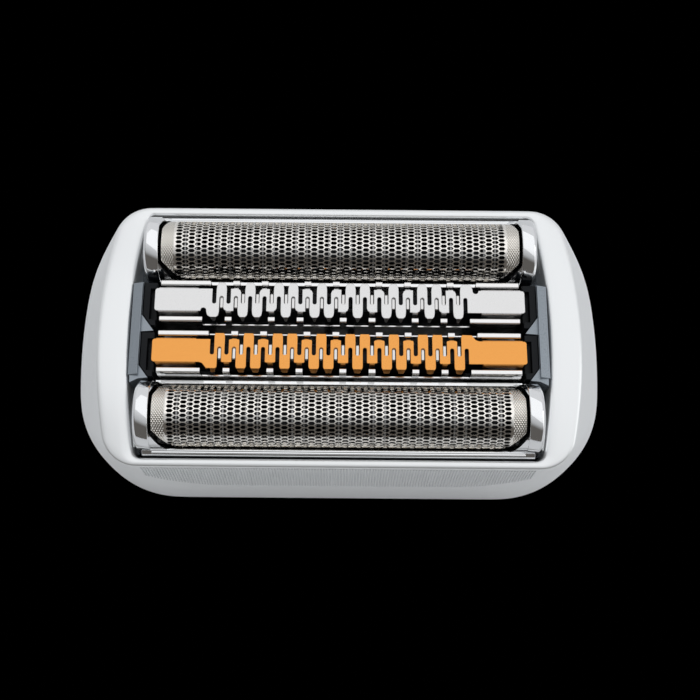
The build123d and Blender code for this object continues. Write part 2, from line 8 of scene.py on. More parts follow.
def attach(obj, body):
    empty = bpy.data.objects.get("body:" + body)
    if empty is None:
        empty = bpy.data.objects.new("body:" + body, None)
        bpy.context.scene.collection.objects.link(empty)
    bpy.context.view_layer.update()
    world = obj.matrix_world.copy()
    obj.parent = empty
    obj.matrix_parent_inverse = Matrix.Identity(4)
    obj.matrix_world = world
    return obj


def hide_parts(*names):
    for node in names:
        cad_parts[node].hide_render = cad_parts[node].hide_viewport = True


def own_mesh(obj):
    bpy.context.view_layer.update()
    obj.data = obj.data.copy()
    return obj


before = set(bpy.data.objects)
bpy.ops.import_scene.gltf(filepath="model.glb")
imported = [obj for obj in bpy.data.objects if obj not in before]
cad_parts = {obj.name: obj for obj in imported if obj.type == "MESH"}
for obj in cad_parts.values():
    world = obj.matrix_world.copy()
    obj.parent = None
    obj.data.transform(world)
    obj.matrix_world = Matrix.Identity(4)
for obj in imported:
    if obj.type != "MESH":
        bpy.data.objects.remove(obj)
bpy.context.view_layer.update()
mm = 0.001
scene = bpy.context.scene
scene.view_settings.view_transform = "Standard"

# Camera
# It looks down on the head from a little in front of straight above, from close by,
# so that the front wall shows below the front foil.
photo_side = 700
focal_pixels = 1124
aim_height = 15.6 * mm
camera_distance = 122 * mm
camera_tilt = radians(18)
camera_roll = radians(0.5)
view_shift = (10.5, -17.1)
camera_data = bpy.data.cameras.new("photo_camera")
camera_data.lens = camera_data.sensor_width * focal_pixels / photo_side
camera_data.shift_x = view_shift[0] / photo_side
camera_data.shift_y = view_shift[1] / photo_side
camera_data.clip_start = 1 * mm
camera = bpy.data.objects.new("photo_camera", camera_data)
scene.collection.objects.link(camera)
camera_in_front = camera_distance * sin(camera_tilt)
camera_up = camera_distance * cos(camera_tilt)
camera_place = Vector((0, -camera_in_front, aim_height + camera_up))
camera.matrix_world = (
    Matrix.Translation(camera_place)
    @ Matrix.Rotation(camera_tilt, 4, "X")
    @ Matrix.Rotation(camera_roll, 4, "Z")
)
scene.camera = camera

# Studio
# A pale floor under one broad soft box, with a smaller one at the right. The surround is pale above and
# behind, and dark above the front, so that the polished pieces show both. The camera itself sees a plain
# black backdrop.
floor_half = 4
floor_colour = (0.86, 0.87, 0.88)
surround_strength = 0.75
surround_bright_side = (0.15, 0.75, 0.45)
surround_span = 0.5
surround_dark = (0.15, 0.14, 0.13, 1)
surround_middle = (0.60, 0.61, 0.62, 1)
surround_pale = (0.97, 0.98, 1.0, 1)
backdrop_black = (0, 0, 0, 1)


def new_finish(name, colour, metallic, roughness):
    """Material with the shader's plain values set."""
    finish = bpy.data.materials.new(name)
    finish.use_nodes = True
    shader = finish.node_tree.nodes["Principled BSDF"]
    shader.inputs["Base Color"].default_value = (*colour, 1)
    shader.inputs["Metallic"].default_value = metallic
    shader.inputs["Roughness"].default_value = roughness
    return finish


def show_camera_black(tree, surface, black_node, output):
    """Lets the camera see black where all other rays meet this surface."""
    rays = tree.nodes.new("ShaderNodeLightPath")
    backdrop = tree.nodes.new(black_node)
    backdrop.inputs["Color"].default_value = backdrop_black
    both = tree.nodes.new("ShaderNodeMixShader")
    tree.links.new(rays.outputs["Is Camera Ray"], both.inputs["Fac"])
    tree.links.new(surface.outputs[0], both.inputs[1])
    tree.links.new(backdrop.outputs[0], both.inputs[2])
    tree.links.new(both.outputs["Shader"], tree.nodes[output].inputs["Surface"])


def make_object(shape, name, finish):
    """Object of a finished shape, with its finish."""
    mesh = bpy.data.meshes.new(name)
    shape.to_mesh(mesh)
    shape.free()
    mesh.materials.append(finish)
    made = bpy.data.objects.new(name, mesh)
    scene.collection.objects.link(made)
    return made


floor_finish = new_finish("pale_floor", floor_colour, metallic=0.0, roughness=0.8)
floor_shader = floor_finish.node_tree.nodes["Principled BSDF"]
show_camera_black(floor_finish.node_tree, floor_shader, "ShaderNodeEmission", "Material Output")
shape = bmesh.new()
bmesh.ops.create_grid(shape, x_segments=1, y_segments=1, size=floor_half)
floor = make_object(shape, "floor", floor_finish)

for lamp_name, lamp_place, lamp_size, lamp_power in (
    ("soft_box_above", (0.10, 0.20, 0.62), (0.95, 0.75), 0.75),
    ("soft_box_right", (0.62, -0.05, 0.26), (0.40, 0.60), 0.50),
):
    lamp_data = bpy.data.lights.new(lamp_name, "AREA")
    lamp_data.shape = "RECTANGLE"
    lamp_data.size, lamp_data.size_y = lamp_size
    lamp_data.energy = lamp_power
    lamp = bpy.data.objects.new(lamp_name, lamp_data)
    lamp.location = lamp_place
    lamp.rotation_mode = "QUATERNION"
    lamp.rotation_quaternion = (-Vector(lamp_place)).to_track_quat("-Z", "Y")
    scene.collection.objects.link(lamp)

world = bpy.data.worlds.new("studio")
scene.world = world
world.use_nodes = True
world_nodes = world.node_tree.nodes
world_links = world.node_tree.links
world_light = world_nodes["Background"]
world_light.inputs["Strength"].default_value = surround_strength
world_direction = world_nodes.new("ShaderNodeTexCoord")
world_bright_side = world_nodes.new("ShaderNodeVectorMath")
world_bright_side.operation = "DOT_PRODUCT"
world_bright_side.inputs[1].default_value = surround_bright_side
world_level = world_nodes.new("ShaderNodeMapRange")
world_level.inputs["From Min"].default_value = -surround_span
world_level.inputs["From Max"].default_value = surround_span
world_shades = world_nodes.new("ShaderNodeValToRGB")
world_ramp = world_shades.color_ramp
world_ramp.elements[0].position = 0.3
world_ramp.elements[0].color = surround_dark
world_ramp.elements[1].position = 0.9
world_ramp.elements[1].color = surround_pale
world_side = world_ramp.elements.new(0.5)
world_side.color = surround_middle
world_links.new(world_direction.outputs["Generated"], world_bright_side.inputs[0])
world_links.new(world_bright_side.outputs["Value"], world_level.inputs["Value"])
world_links.new(world_level.outputs["Result"], world_shades.inputs["Fac"])
world_links.new(world_shades.outputs["Color"], world_light.inputs["Color"])
show_camera_black(world.node_tree, world_light, "ShaderNodeBackground", "World Output")


# Outer frame
# A moulded shell of satin silver plastic, with arched shoulders at both ends and a thin rim along
# both long sides. The chassis snaps into it from below.
def settle(shape, name, body, finish, slot, *nodes):
    """Makes the object of a shape that was built in mm, and puts it on its body."""
    bmesh.ops.scale(shape, vec=(mm, mm, mm), verts=shape.verts)
    piece = make_object(shape, name, finish)
    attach(piece, body)
    if nodes:
        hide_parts(*nodes)
    return piece


def bowed_ring(half_length, half_depth, bow, corner):
    """Places round an outline with straight long sides, bowed ends and rounded corners, from the middle
    of the right end on: each quarter has steps along the end, round the corner and along the side."""
    end_steps, corner_steps, side_steps = 5, 9, 6
    end_radius = (half_depth**2 + bow**2) / (2 * bow)
    end_centre = half_length - end_radius
    corner_y = half_depth - corner
    corner_x = end_centre + sqrt((end_radius - corner) ** 2 - corner_y**2)
    join = Vector((corner_x - end_centre, corner_y)).normalized()
    join_turn = Vector((1, 0)).angle(join)
    quarter = []
    for step in range(end_steps):
        turn = join_turn * step / end_steps
        quarter.append((end_centre + end_radius * cos(turn), end_radius * sin(turn)))
    for step in range(corner_steps):
        turn = join_turn + (pi / 2 - join_turn) * step / corner_steps
        quarter.append((corner_x + corner * cos(turn), corner_y + corner * sin(turn)))
    for step in range(side_steps):
        quarter.append((corner_x * (1 - step / side_steps), half_depth))
    first_half = quarter + [(-x, y) for x, y in [(0, half_depth)] + quarter[:0:-1]]
    return first_half + [(-x, -y) for x, y in first_half]


crown_height = 16.7
crown_radius = 80


def crown(y):
    """Height of the arched shoulders over a place across the head."""
    return crown_height - crown_radius + sqrt(crown_radius**2 - y**2)


frame_satin = new_finish("frame_satin", (0.86, 0.875, 0.88), metallic=0.75, roughness=0.28)

# From the seat of the chassis round the foot, up the flanks, over the shoulders and down the opening:
# half length, half depth, bow, corner, height, and whether the height is measured from the crown.
frame_rings = (
    (27.8, 14.25, 0.5, 8.6, 5.95, False),
    (27.8, 14.25, 0.5, 8.6, 0.45, False),
    (28.15, 14.5, 0.8, 9.2, 0.0, False),
    (29.35, 15.2, 1.9, 10.7, 0.0, False),
    (29.8, 15.6, 1.9, 11.0, 0.5, False),
    (29.8, 15.6, 1.9, 11.0, 5.6, False),
    (29.72, 15.56, 1.9, 10.9, 7.2, False),
    (28.76, 15.1, 1.9, 9.2, 11.6, False),
    (26.35, 14.84, 1.8, 4.4, -0.55, True),
    (26.05, 14.8, 1.75, 3.8, -0.16, True),
    (25.8, 14.7, 1.72, 3.4, -0.02, True),
    (24.0, 14.42, 1.3, 1.7, 0.0, True),
    (23.6, 14.22, 1.25, 1.4, -0.03, True),
    (22.75, 13.91, 1.2, 0.9, -0.13, True),
    (22.6, 13.75, 1.2, 0.75, -0.6, True),
    (22.55, 13.65, 1.2, 0.6, 6.0, False),
)
shape = bmesh.new()
ring_edges = []
for half_length, half_depth, bow, corner, height, from_crown in frame_rings:
    places = bowed_ring(half_length, half_depth, bow, corner)
    ring = bmesh.ops.create_circle(shape, segments=len(places))["verts"]
    for corner_point, (x, y) in zip(ring, places):
        corner_point.co = (x, y, crown(y) + height if from_crown else height)
    ring_edges.append([edge for edge in shape.edges if edge.verts[0] in set(ring)])
for low, high in zip(ring_edges, ring_edges[1:] + ring_edges[:1]):
    bmesh.ops.bridge_loops(shape, edges=low + high)
bmesh.ops.recalc_face_normals(shape, faces=shape.faces)
for face in shape.faces:
    face.smooth = True
outer_shell = settle(shape, "outer_shell", "housing", frame_satin, "frame_plastic", "outer_frame")
rounding = outer_shell.modifiers.new("rounding", "SUBSURF")
rounding.levels = 2
rounding.render_levels = 2

# Inner corner facets
# Sloped webs that close the gap beside each foil frame's end. They are moulded with the shell, in the
# same satin plastic.
facet_start = 6.4
facet_end = 12.6
facet_inner = 21.42
facet_turn = 10.6
facet_outer = 22.85
facet_bow = 1.3
facet_steps = 12
facet_sheet = 0.5
facet_top_drop = 0.95
facet_foot_drop = 1.9
merge_reach = 0.001
shape = bmesh.new()
for way_x in (1, -1):
    for way_y in (1, -1):
        web = bmesh.ops.create_grid(shape, x_segments=1, y_segments=facet_steps, size=0.5)["verts"]
        for point in web:
            y = facet_start + (facet_end - facet_start) * (point.co.y + 0.5)
            outer = facet_outer - facet_bow * (y / facet_end) ** 2
            narrowing = min(max((facet_turn - y) / (facet_turn - facet_start), 0), 1)
            inner = facet_inner + (outer - facet_inner) * narrowing
            on_top = point.co.x > 0
            x = outer if on_top else inner
            drop = facet_top_drop if on_top else facet_foot_drop
            point.co = (way_x * x, way_y * y, crown(y) - drop)
bmesh.ops.remove_doubles(shape, verts=shape.verts, dist=merge_reach)
bmesh.ops.recalc_face_normals(shape, faces=shape.faces)
for face in shape.faces:
    if face.normal.z < 0:
        face.normal_flip()
bmesh.ops.solidify(shape, geom=shape.faces[:], thickness=facet_sheet)
bmesh.ops.recalc_face_normals(shape, faces=shape.faces)
settle(shape, "shell_corner_facets", "housing", frame_satin, "frame_plastic")

# Front wall ribs
# Fine upright ribs moulded on the upper part of the front wall, as a grip. They are of the shell's
# plastic, a little rougher, with a darker colour that is painted shade of the grooves between them, and
# they end higher near the corners.
# The ribs' darker colour is painted shade between the ribs. Their higher roughness is real.
rib_satin_painted_shade = new_finish("rib_satin_painted_shade", (0.74, 0.76, 0.77), metallic=0.75, roughness=0.34)
rib_count = 137
rib_pitch = 0.305
rib_width = 0.16
rib_proud = 0.11
rib_sunk = 0.12
rib_low = 8.5
rib_low_at_ends = 11.6
rib_high = 14.85
rib_straight_half = 13.0
rib_rise = 1.6
rib_round = rib_width * 0.45
clear_of_the_wall = 50
square_edge = radians(60)
bpy.context.view_layer.update()
shell_now = outer_shell.evaluated_get(bpy.context.evaluated_depsgraph_get())


def front_wall(x, height):
    """How far forward the front wall lies at a place along it and a height."""
    start = Vector((x, -clear_of_the_wall, height)) * mm
    return shell_now.ray_cast(start, Vector((0, 1, 0)))[1].y / mm


def whole(shape):
    """All the geometry of a shape."""
    return shape.verts[:] + shape.edges[:] + shape.faces[:]


def points_in(geom):
    """The points among the geometry that an operator gives back."""
    return [part for part in geom if isinstance(part, bmesh.types.BMVert)]


def copies(shape, geom, steps):
    """Copies part of a shape to each of these steps away from it. Returns the copies."""
    made = []
    for step in steps:
        copy = bmesh.ops.duplicate(shape, geom=geom)["geom"]
        bmesh.ops.translate(shape, vec=step, verts=points_in(copy))
        made += copy
    return made


def round_off(shape, geom, radius, segments=2, affect="EDGES"):
    """Rounds these edges of a shape, or these corners of a flat one."""
    bmesh.ops.bevel(
        shape,
        geom=geom,
        offset=radius,
        offset_type="OFFSET",
        segments=segments,
        profile=0.5,
        affect=affect,
        material=-1,
    )


shape = bmesh.new()
rib = bmesh.ops.create_cube(shape, size=1)["verts"]
bmesh.ops.scale(shape, vec=(rib_width, rib_proud + rib_sunk, 1), verts=rib)
uprights = [edge for edge in shape.edges if abs(edge.verts[0].co.z - edge.verts[1].co.z) > 0.5]
bmesh.ops.subdivide_edges(shape, edges=uprights, cuts=3)
front_edges = [edge for edge in shape.edges if all(point.co.y < 0 for point in edge.verts)]
rim_edges = [edge for edge in front_edges if edge.calc_face_angle(0) > square_edge]
round_off(shape, rim_edges, rib_round)
rib_reach = (rib_count - 1) / 2 * rib_pitch
bmesh.ops.translate(shape, vec=(-rib_reach, 0, 0), verts=shape.verts)
copies(shape, whole(shape), [(index * rib_pitch, 0, 0) for index in range(1, rib_count)])
for point in shape.verts:
    past = max(0, abs(point.co.x) - rib_straight_half) / (rib_reach - rib_straight_half)
    low = rib_low + (rib_low_at_ends - rib_low) * past**rib_rise
    height = low + (rib_high - low) * (point.co.z + 0.5)
    sunk = point.co.y - (rib_sunk - rib_proud) / 2
    point.co.z = height
    point.co.y = front_wall(point.co.x, height) + sunk
for face in shape.faces:
    face.smooth = True
settle(shape, "front_wall_ribs", "housing", rib_satin_painted_shade, "frame_plastic")

# Chassis
# The blue-grey moulded inner frame: a windowed floor with end walls that the floating units hook into.
# It is plastic, and snaps into the shell from below.
sharp_edge = radians(40)
flat_within = radians(1)


def dress(name, finish, edge_radius, segments=2):
    """Gives a solid of the frame its finish, and slightly rounded edges."""
    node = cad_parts[name]
    node.material_slots[0].material = finish
    joined = node.modifiers.new("joined", "WELD")
    joined.merge_threshold = merge_reach * mm
    flat = node.modifiers.new("flat", "DECIMATE")
    flat.decimate_type = "DISSOLVE"
    flat.angle_limit = flat_within
    edges = node.modifiers.new("edges", "BEVEL")
    edges.limit_method = "ANGLE"
    edges.angle_limit = sharp_edge
    edges.width = edge_radius * mm
    edges.segments = segments
    edges.harden_normals = True


def add_grain(finish, per_mm, height, rough_low, rough_high, stretch=(1, 1, 1)):
    """Fine unevenness of a surface: it moves the roughness a little and raises a bump in mm."""
    nodes = finish.node_tree.nodes
    links = finish.node_tree.links
    shader = nodes["Principled BSDF"]
    place = nodes.new("ShaderNodeTexCoord")
    turn = nodes.new("ShaderNodeMapping")
    turn.inputs["Scale"].default_value = stretch
    grain = nodes.new("ShaderNodeTexNoise")
    grain.inputs["Scale"].default_value = per_mm / mm
    grain.inputs["Detail"].default_value = 3
    spread = nodes.new("ShaderNodeMapRange")
    spread.inputs["From Min"].default_value = 0.3
    spread.inputs["From Max"].default_value = 0.7
    spread.inputs["To Min"].default_value = rough_low
    spread.inputs["To Max"].default_value = rough_high
    bump = nodes.new("ShaderNodeBump")
    bump.inputs["Distance"].default_value = height * mm
    links.new(place.outputs["Object"], turn.inputs["Vector"])
    links.new(turn.outputs["Vector"], grain.inputs["Vector"])
    links.new(grain.outputs["Fac"], spread.inputs["Value"])
    links.new(spread.outputs["Result"], shader.inputs["Roughness"])
    links.new(grain.outputs["Fac"], bump.inputs["Height"])
    links.new(bump.outputs["Normal"], shader.inputs["Normal"])
    return bump


def paint_shade_by_height(finish, low, low_colour, high, high_colour):
    """Painted shade: a colour that changes between two heights, darker low down where shade falls."""
    nodes = finish.node_tree.nodes
    links = finish.node_tree.links
    place = nodes.new("ShaderNodeTexCoord")
    split = nodes.new("ShaderNodeSeparateXYZ")
    level = nodes.new("ShaderNodeMapRange")
    level.inputs["From Min"].default_value = low * mm
    level.inputs["From Max"].default_value = high * mm
    shades = nodes.new("ShaderNodeValToRGB")
    shades.color_ramp.elements[0].color = (*low_colour, 1)
    shades.color_ramp.elements[1].color = (*high_colour, 1)
    links.new(place.outputs["Object"], split.inputs["Vector"])
    links.new(split.outputs["Z"], level.inputs["Value"])
    links.new(level.outputs["Result"], shades.inputs["Fac"])
    links.new(shades.outputs["Color"], nodes["Principled BSDF"].inputs["Base Color"])


# The chassis colour darkens towards the bottom: painted shade deep inside the head.
chassis_colour = (0.29, 0.325, 0.36)
chassis_painted_shade_colour = (0.012, 0.014, 0.017)
chassis_dark_below = 11.0
chassis_pale_above = 16.0
chassis_grey = new_finish("chassis_grey", chassis_colour, metallic=0.7, roughness=0.28)
add_grain(chassis_grey, per_mm=14, height=0.003, rough_low=0.25, rough_high=0.34)
paint_shade_by_height(chassis_grey, chassis_dark_below, chassis_painted_shade_colour, chassis_pale_above, chassis_colour)
dress("inner_chassis", chassis_grey, edge_radius=0.12)

# Chassis end slopes
# The end walls' tops fall towards the shell, so that shavings are rinsed off outwards. They are moulded
# with the chassis.
slope_inner = 21.42
slope_outer = 22.5
slope_half_depth = 5.2
slope_foot = 16.3
slope_low = 16.54
slope_high = 16.98
slope_round = 0.06
near = 0.01
shape = bmesh.new()
for way in (1, -1):
    wedge = bmesh.ops.create_cube(shape, size=1)["verts"]
    for point in wedge:
        outside = point.co.x > 0
        top = slope_low if outside else slope_high
        point.co.z = top if point.co.z > 0 else slope_foot
        point.co.x = way * (slope_outer if outside else slope_inner)
        point.co.y *= 2 * slope_half_depth
bmesh.ops.recalc_face_normals(shape, faces=shape.faces)
top_edges = [edge for edge in shape.edges if all(point.co.z > slope_foot + near for point in edge.verts)]
round_off(shape, top_edges, slope_round)
settle(shape, "chassis_end_slopes", "housing", chassis_grey, "chassis_plastic")

# Foil frames
# Chromed plastic mouldings that float on springs: an arched wall at each end of a foil, joined by a rail
# along each side. Webs fill the corners between them, and the rail towards the shell has a sloped top.
sides = (("front", -1), ("rear", 1))
chrome = new_finish("chrome", (0.86, 0.87, 0.88), metallic=1.0, roughness=0.07)
add_grain(chrome, per_mm=3, height=0.0008, rough_low=0.05, rough_high=0.11)
foil_axis = 9.4
foil_axis_height = 15.6
gusset_radius = 3.62
gusset_sheet = 0.3
gusset_root = 19.9
gusset_below = 0.4
gusset_end = gusset_radius * pi / 2 + gusset_below
gusset_steps = 14

# Towards the rear and the front: where the web starts round the arc, and how far in its tip lies.
gusset_shapes = ((1, 1.1, 18.5), (-1, 2.4, 17.8))

# Corners of the cap: distance from the foil's axis, and height.
cap_half_length = 20.7
cap_round = 0.07
cap_profile = ((3.5, 14.7), (3.5, 15.54), (3.74, 15.56), (4.22, 15.14), (4.22, 14.7))


def gusset_row(y):
    """Corner webs between the arches and the rails, cut slantwise and bent round the foil."""
    shape = bmesh.new()
    for way_y, start, tip in gusset_shapes:
        for way_x in (1, -1):
            web = bmesh.ops.create_grid(shape, x_segments=1, y_segments=gusset_steps, size=0.5)["verts"]
            for point in web:
                point.co.x = tip + (gusset_root - tip) * (point.co.x + 0.5)
                point.co.y = start + (gusset_end - start) * (point.co.y + 0.5)
            edges = dict.fromkeys(edge for point in web for edge in point.link_edges)
            faces = dict.fromkeys(face for point in web for face in point.link_faces)
            cut = bmesh.ops.bisect_plane(
                shape,
                geom=[*web, *edges, *faces],
                plane_co=(gusset_root, start, 0),
                plane_no=(start - gusset_end, tip - gusset_root, 0),
                clear_outer=True,
            )["geom"]
            for point in points_in(cut):
                turn = min(point.co.y / gusset_radius, pi / 2)
                below = max(0, point.co.y - gusset_radius * pi / 2)
                point.co.x *= way_x
                point.co.y = y + way_y * gusset_radius * sin(turn)
                point.co.z = foil_axis_height + gusset_radius * cos(turn) - below
    bmesh.ops.recalc_face_normals(shape, faces=shape.faces)
    for face in shape.faces:
        middle = face.calc_center_median()
        if face.normal.dot(Vector((0, middle.y - y, max(0, middle.z - foil_axis_height)))) < 0:
            face.normal_flip()
    bmesh.ops.solidify(shape, geom=shape.faces[:], thickness=gusset_sheet)
    bmesh.ops.recalc_face_normals(shape, faces=shape.faces)
    return shape


def rail_cap(shape, y, way):
    """Sloped top of the rail that lies towards the shell."""
    places = [(-cap_half_length, y + way * reach, height) for reach, height in cap_profile]
    corners = [shape.verts.new(place) for place in places]
    end = shape.faces.new(corners)
    drawn = bmesh.ops.extrude_face_region(shape, geom=[end])["geom"]
    far = points_in(drawn)
    bmesh.ops.translate(shape, vec=(2 * cap_half_length, 0, 0), verts=far)
    faces = dict.fromkeys(face for point in corners + far for face in point.link_faces)
    bmesh.ops.recalc_face_normals(shape, faces=list(faces))
    edges = dict.fromkeys(edge for face in faces for edge in face.edges)
    round_off(shape, list(edges), cap_round)


def soften(shape):
    """Shades a shape smooth, apart from its sharp edges."""
    for face in shape.faces:
        face.smooth = True
    for edge in shape.edges:
        edge.smooth = edge.calc_face_angle(0) < sharp_edge


for side, turn in sides:
    dress(f"{side}_foil_frame", chrome, edge_radius=0.2, segments=3)
    webs = gusset_row(turn * foil_axis)
    rail_cap(webs, turn * foil_axis, turn)
    soften(webs)
    settle(webs, f"{side}_foil_gussets", f"{side}_foil_unit", chrome, "chromed_plastic")

# Foils
# Electroformed nickel sheets, about a tenth of a millimetre thick, with staggered six-sided holes.
# They are bent to a half round and clipped between the rails. The ends are plain, with a fine knurl.
foil_radius = 3.27
foil_end = 19.4
foil_skirt = 3.2
foil_skirt_spread = 0.23
foil_skirt_spread_over = 1.2
foil_sheet = 0.1
foil_border = 0.5
column_count = 51
column_pitch = 0.70
row_count = 22
row_pitch = 0.48
hole_half_length = 0.38
hole_half_width = 0.188
tile_half_length = column_pitch * 2 / 3
tile_half_width = row_pitch / 2
round_half = foil_radius * pi / 2

# Towards the rear and the front: where a corner's cut starts round the arc, and how far in it ends.
cut_shapes = ((1, 1.5, 1.25), (-1, 2.3, 2.2))

knurl_start = 18.0
knurl_full = 18.15
knurl_lean = radians(35)
knurl_per_mm = 1.45
knurl_depth = 0.04
nickel_colour = (0.88, 0.85, 0.80)
knurl_groove_painted_shade = (0.56, 0.52, 0.455)
foil_nickel = new_finish("foil_nickel", nickel_colour, metallic=1.0, roughness=0.2)
foil_nodes = foil_nickel.node_tree.nodes
foil_links = foil_nickel.node_tree.links
foil_shader = foil_nodes["Principled BSDF"]
grain_bump = add_grain(foil_nickel, per_mm=6, height=0.001, rough_low=0.08, rough_high=0.14)
foil_place = foil_nodes.new("ShaderNodeTexCoord")
foil_split = foil_nodes.new("ShaderNodeSeparateXYZ")
foil_reach = foil_nodes.new("ShaderNodeMath")
foil_reach.operation = "ABSOLUTE"
knurl_edge = foil_nodes.new("ShaderNodeMapRange")
knurl_edge.inputs["From Min"].default_value = knurl_start * mm
knurl_edge.inputs["From Max"].default_value = knurl_full * mm
knurl_edge.inputs["To Min"].default_value = 1
knurl_edge.inputs["To Max"].default_value = 0
knurl_lines = []
for lean in (knurl_lean, -knurl_lean):
    knurl_turn = foil_nodes.new("ShaderNodeMapping")
    knurl_turn.inputs["Rotation"].default_value = (0, 0, lean)
    knurl_wave = foil_nodes.new("ShaderNodeTexWave")
    knurl_wave.inputs["Scale"].default_value = knurl_per_mm / mm
    foil_links.new(foil_place.outputs["Object"], knurl_turn.inputs["Vector"])
    foil_links.new(knurl_turn.outputs["Vector"], knurl_wave.inputs["Vector"])
    knurl_lines.append(knurl_wave)
knurl_cross = foil_nodes.new("ShaderNodeMath")
knurl_cross.operation = "MINIMUM"
knurl_height = foil_nodes.new("ShaderNodeMath")
knurl_height.operation = "MAXIMUM"
knurl_bump = foil_nodes.new("ShaderNodeBump")
knurl_bump.inputs["Distance"].default_value = knurl_depth * mm
# The knurl's grooves are coloured darker than the nickel: painted shade in the grooves. Their depth is a
# real bump.
knurl_painted_shade_ramp = foil_nodes.new("ShaderNodeValToRGB")
knurl_painted_shade_ramp.color_ramp.elements[0].color = (*knurl_groove_painted_shade, 1)
knurl_painted_shade_ramp.color_ramp.elements[1].position = 0.35
knurl_painted_shade_ramp.color_ramp.elements[1].color = (*nickel_colour, 1)
foil_links.new(foil_place.outputs["Object"], foil_split.inputs["Vector"])
foil_links.new(foil_split.outputs["X"], foil_reach.inputs[0])
foil_links.new(foil_reach.outputs["Value"], knurl_edge.inputs["Value"])
foil_links.new(knurl_lines[0].outputs["Fac"], knurl_cross.inputs[0])
foil_links.new(knurl_lines[1].outputs["Fac"], knurl_cross.inputs[1])
foil_links.new(knurl_cross.outputs["Value"], knurl_height.inputs[0])
foil_links.new(knurl_edge.outputs["Result"], knurl_height.inputs[1])
foil_links.new(knurl_height.outputs["Value"], knurl_bump.inputs["Height"])
foil_links.new(grain_bump.outputs["Normal"], knurl_bump.inputs["Normal"])
foil_links.new(knurl_bump.outputs["Normal"], foil_shader.inputs["Normal"])
foil_links.new(knurl_height.outputs["Value"], knurl_painted_shade_ramp.inputs["Fac"])
foil_links.new(knurl_painted_shade_ramp.outputs["Color"], foil_shader.inputs["Base Color"])


def run_out(shape, edges, axis, reach):
    """Draws edges out along an axis until they lie at this reach. Returns the new edges."""
    drawn = bmesh.ops.extrude_edge_only(shape, edges=edges)["geom"]
    for point in points_in(drawn):
        point.co[axis] = reach
    return [part for part in drawn if isinstance(part, bmesh.types.BMEdge) and part.is_boundary]


def perforated_sheet():
    """Flat foil: a field of six-sided tiles, each with its hole, and plain sheet round it."""
    shape = bmesh.new()
    tile_rim = shape.verts.layers.int.new("tile_rim")
    hole = bmesh.ops.create_circle(shape, segments=6, radius=1)["verts"]
    bmesh.ops.rotate(shape, cent=(0, 0, 0), matrix=Matrix.Rotation(pi / 2, 3, "Z"), verts=hole)
    point_width = sin(pi / 3)
    bmesh.ops.scale(shape, vec=(hole_half_length, hole_half_width / point_width, 1), verts=hole)
    drawn = bmesh.ops.extrude_edge_only(shape, edges=shape.edges[:])["geom"]
    rim = points_in(drawn)
    grown = (tile_half_length / hole_half_length, tile_half_width / hole_half_width, 1)
    bmesh.ops.scale(shape, vec=grown, verts=rim)
    for point in rim:
        point[tile_rim] = 1
    tile = whole(shape)
    between = copies(shape, tile, [(column_pitch, row_pitch / 2, 0)])
    pairs = column_count // 2
    for first, columns, rows in ((tile, pairs + 1, row_count), (between, pairs, row_count - 1)):
        row = first + copies(shape, first, [(2 * column_pitch * step, 0, 0) for step in range(1, columns)])
        copies(shape, row, [(0, row_pitch * step, 0) for step in range(1, rows)])
    bmesh.ops.remove_doubles(shape, verts=shape.verts, dist=near)
    low = Vector(min(point.co[axis] for point in shape.verts) for axis in range(3))
    high = Vector(max(point.co[axis] for point in shape.verts) for axis in range(3))
    bmesh.ops.translate(shape, vec=-(low + high) / 2, verts=shape.verts)
    half_field = (high - low) / 2

    def border(axis, way):
        depth = half_field[axis] - tile_half_width - near
        return [
            edge
            for edge in shape.edges
            if edge.is_boundary
            and all(point[tile_rim] and way * point.co[axis] > depth for point in edge.verts)
        ]

    for way in (1, -1):
        edges = run_out(shape, border(1, way), 1, way * (round_half - near))
        edges = run_out(shape, edges, 1, way * (round_half + foil_skirt_spread_over))
        run_out(shape, edges, 1, way * (round_half + foil_skirt))
    for way in (1, -1):
        edges = run_out(shape, border(0, way), 0, way * (half_field.x + foil_border))
        run_out(shape, edges, 0, way * foil_end)
    return shape


def thicken(shape, sheet):
    """Turns a bent sheet's faces upwards, and gives it its thickness downwards."""
    bmesh.ops.recalc_face_normals(shape, faces=shape.faces)
    if sum(face.normal.z for face in shape.faces) < 0:
        bmesh.ops.reverse_faces(shape, faces=shape.faces)
    bmesh.ops.solidify(shape, geom=shape.faces[:], thickness=sheet)
    bmesh.ops.recalc_face_normals(shape, faces=shape.faces)


def foil_shape(y):
    """Foil at its place: cut at the corners, bent to a half round, and given its thickness."""
    shape = perforated_sheet()
    for way_x in (1, -1):
        for way_y, cut_start, cut_from_end in cut_shapes:
            outward = Vector((way_x * (round_half - cut_start), way_y * cut_from_end, 0))
            bmesh.ops.bisect_plane(
                shape,
                geom=whole(shape),
                plane_co=(way_x * foil_end, way_y * cut_start, 0),
                plane_no=outward,
                clear_outer=True,
            )
    for point in shape.verts:
        along = point.co.y
        turn = max(-pi / 2, min(pi / 2, along / foil_radius))
        below = max(0, abs(along) - round_half)
        spread = foil_skirt_spread * min(below / foil_skirt_spread_over, 1)
        point.co.y = y + foil_radius * sin(turn) + (spread if along > 0 else -spread)
        point.co.z = foil_axis_height + foil_radius * cos(turn) - below
    thicken(shape, foil_sheet)
    soften(shape)
    return shape


for side, turn in sides:
    name = f"{side}_perforated_foil"
    shape = foil_shape(turn * foil_axis)
    settle(shape, name, f"{side}_foil_unit", foil_nickel, "foil_nickel", f"{side}_foil")

# Foil cutters
# A row of thin ground steel arches that stand on a black moulded bar and run to and fro under the foil.
# The drive pin takes hold of a block below the bar.
arch_count = 29
arch_pitch = 1.2
arch_thickness = 0.18
arch_outer = 3.05
arch_inner = 2.2
arch_foot = 12.4
arch_steps = 40

